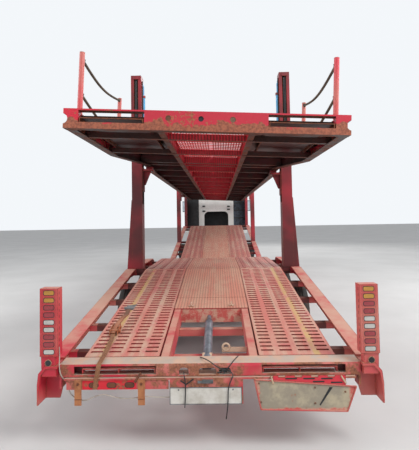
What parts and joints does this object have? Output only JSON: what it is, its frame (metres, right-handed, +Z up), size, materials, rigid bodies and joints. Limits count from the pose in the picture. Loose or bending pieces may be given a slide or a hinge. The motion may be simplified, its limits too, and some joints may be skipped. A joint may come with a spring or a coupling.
{
  "type": "articulated car transporter lorry",
  "caption": "Articulated car transporter: a two-deck open semi-trailer with lifting upper deck and stowed ramps, hinged to a cab-over tractor.",
  "frame": {"origin": "on the ground, below the middle of the overall box", "axes": "+Y forward along the lorry, towards the cab; +X to the right seen from behind; +Z up"},
  "size_m": [3.05, 16.25, 3.85],
  "materials": {
    "red_paint": "semi-gloss red, rubbed and rusty at the edges",
    "faded_deck": "dusty faded red with bare and rusty patches",
    "bright_mesh": "bright red",
    "chassis_grey": "dark grey satin",
    "cab_white": "gloss white",
    "cream_paint": "dull cream grey",
    "cylinder_steel": "blue paint with bright rods",
    "steel": "worn bare steel",
    "tank_aluminium": "satin",
    "tyre_rubber": "matt",
    "rim_paint": "satin silver grey",
    "black_plastic": "matt",
    "deflector_blue": "dark blue grey",
    "lens_plastic": "clear coloured plastic in amber, red and white",
    "lamp_glass": "clear",
    "window_glass": "lightly tinted",
    "plate_white": "plain white",
    "seat_fabric": "dark grey cloth",
    "engine_iron": "dark"
  },
  "bodies": {
    "trailer": {"trailer_frame": "red_paint", "rear_tracks": "faded_deck", "deck_plates": "faded_deck", "rear_beam": "red_paint", "number_plate": "plate_white", "tail_flap": "cream_paint", "lamp_columns": "red_paint", "lamp_lenses": "lens_plastic", "deck_posts": "red_paint", "hydraulic_cylinders": "cylinder_steel", "trailer_axles": "chassis_grey", "landing_legs": "chassis_grey", "kingpin_plate": "red_paint"},
    "left_ramp": {"ramp_left": "faded_deck"},
    "right_ramp": {"ramp_right": "faded_deck"},
    "middle_lift": {"middle_carriages": "red_paint"},
    "rear_lift": {"rear_carriages": "red_paint"},
    "upper_deck": {"upper_frame": "red_paint", "upper_tracks": "faded_deck", "upper_mesh": "bright_mesh", "upper_ramps": "faded_deck", "stanchions": "red_paint"},
    "tractor": {"tractor_frame": "chassis_grey", "fifth_wheel": "chassis_grey", "tractor_axles": "chassis_grey", "side_tanks": "tank_aluminium", "mudguards": "black_plastic", "bumper": "cab_white", "headlamps": "lamp_glass", "step_boxes": "black_plastic", "engine": "engine_iron"},
    "cab": {"cab_shell": "cab_white", "front_panel": "black_plastic", "windscreen": "window_glass", "side_fairings": "deflector_blue", "mirrors": "black_plastic", "seats": "seat_fabric", "dashboard": "black_plastic"},
    "left_door": {"door_left": "cab_white", "door_glass_left": "window_glass"},
    "right_door": {"door_right": "cab_white", "door_glass_right": "window_glass"},
    "left_knuckle": {"knuckle_left": "chassis_grey"},
    "right_knuckle": {"knuckle_right": "chassis_grey"},
    "trailer_wheel_1_left": {"trailer_tyre_1_left": "tyre_rubber", "trailer_rim_1_left": "rim_paint"},
    "trailer_wheel_1_right": {"trailer_tyre_1_right": "tyre_rubber", "trailer_rim_1_right": "rim_paint"},
    "trailer_wheel_2_left": {"trailer_tyre_2_left": "tyre_rubber", "trailer_rim_2_left": "rim_paint"},
    "trailer_wheel_2_right": {"trailer_tyre_2_right": "tyre_rubber", "trailer_rim_2_right": "rim_paint"},
    "steer_wheel_left": {"steer_tyre_left": "tyre_rubber", "steer_rim_left": "rim_paint"},
    "drive_wheels_left": {"drive_tyres_left": "tyre_rubber", "drive_rims_left": "rim_paint"},
    "steer_wheel_right": {"steer_tyre_right": "tyre_rubber", "steer_rim_right": "rim_paint"},
    "drive_wheels_right": {"drive_tyres_right": "tyre_rubber", "drive_rims_right": "rim_paint"}
  },
  "joints": [
    {"name": "trailer_wheel_1_left_turn", "type": "hinge", "parent": "trailer", "child": "trailer_wheel_1_left", "pos_m": [-1.118, -5.375, 0.42], "axis": [-1, 0, 0], "continuous": true},
    {"name": "trailer_wheel_1_right_turn", "type": "hinge", "parent": "trailer", "child": "trailer_wheel_1_right", "pos_m": [1.118, -5.375, 0.42], "axis": [-1, 0, 0], "continuous": true},
    {"name": "trailer_wheel_2_left_turn", "type": "hinge", "parent": "trailer", "child": "trailer_wheel_2_left", "pos_m": [-1.118, -4.075, 0.42], "axis": [-1, 0, 0], "continuous": true},
    {"name": "trailer_wheel_2_right_turn", "type": "hinge", "parent": "trailer", "child": "trailer_wheel_2_right", "pos_m": [1.118, -4.075, 0.42], "axis": [-1, 0, 0], "continuous": true},
    {"name": "left_ramp_slide", "type": "slide", "parent": "trailer", "child": "left_ramp", "axis": [0, -0.9918, -0.1277], "range_m": [0, 1.4]},
    {"name": "right_ramp_slide", "type": "slide", "parent": "trailer", "child": "right_ramp", "axis": [0, -0.9918, -0.1277], "range_m": [0, 1.4]},
    {"name": "middle_lift_slide", "type": "slide", "parent": "trailer", "child": "middle_lift", "axis": [0, 0, 1], "range_m": [-0.2, 0.3]},
    {"name": "upper_deck_tilt", "type": "hinge", "parent": "middle_lift", "child": "upper_deck", "pos_m": [0, 2.225, 2.49], "axis": [1, 0, 0], "range_deg": [-7, 2]},
    {"name": "rear_lift_slide", "type": "slide", "parent": "middle_lift", "child": "rear_lift", "axis": [0, 0, 1], "range_m": [-0.27, 0.91]},
    {"name": "fifth_wheel_turn", "type": "hinge", "parent": "trailer", "child": "tractor", "pos_m": [0, 3.575, 1.05], "axis": [0, 0, 1], "range_deg": [-75, 75]},
    {"name": "cab_tilt", "type": "hinge", "parent": "tractor", "child": "cab", "pos_m": [0, 7.875, 0.85], "axis": [-1, 0, 0], "range_deg": [0, 60]},
    {"name": "left_door_swing", "type": "hinge", "parent": "cab", "child": "left_door", "pos_m": [-1.249, 7.615, 2], "axis": [0, 0, -1], "range_deg": [0, 70]},
    {"name": "left_steer", "type": "hinge", "parent": "tractor", "child": "left_knuckle", "pos_m": [-0.93, 6.725, 0.448], "axis": [0, 0, 1], "range_deg": [-38, 38]},
    {"name": "steer_wheel_left_turn", "type": "hinge", "parent": "left_knuckle", "child": "steer_wheel_left", "pos_m": [-1.045, 6.725, 0.448], "axis": [-1, 0, 0], "continuous": true},
    {"name": "drive_wheels_left_turn", "type": "hinge", "parent": "tractor", "child": "drive_wheels_left", "pos_m": [-0.93, 3.025, 0.448], "axis": [-1, 0, 0], "continuous": true},
    {"name": "right_door_swing", "type": "hinge", "parent": "cab", "child": "right_door", "pos_m": [1.249, 7.615, 2], "axis": [0, 0, 1], "range_deg": [0, 70]},
    {"name": "right_steer", "type": "hinge", "parent": "tractor", "child": "right_knuckle", "pos_m": [0.93, 6.725, 0.448], "axis": [0, 0, 1], "range_deg": [-38, 38]},
    {"name": "steer_wheel_right_turn", "type": "hinge", "parent": "right_knuckle", "child": "steer_wheel_right", "pos_m": [1.045, 6.725, 0.448], "axis": [-1, 0, 0], "continuous": true},
    {"name": "drive_wheels_right_turn", "type": "hinge", "parent": "tractor", "child": "drive_wheels_right", "pos_m": [0.93, 3.025, 0.448], "axis": [-1, 0, 0], "continuous": true}
  ],
  "couplings": [
    {"joint": "right_steer", "follows": "left_steer", "ratio": 1},
    {"joint": "rear_lift_slide", "follows": "upper_deck_tilt", "m_per_rad": -7.305}
  ]
}
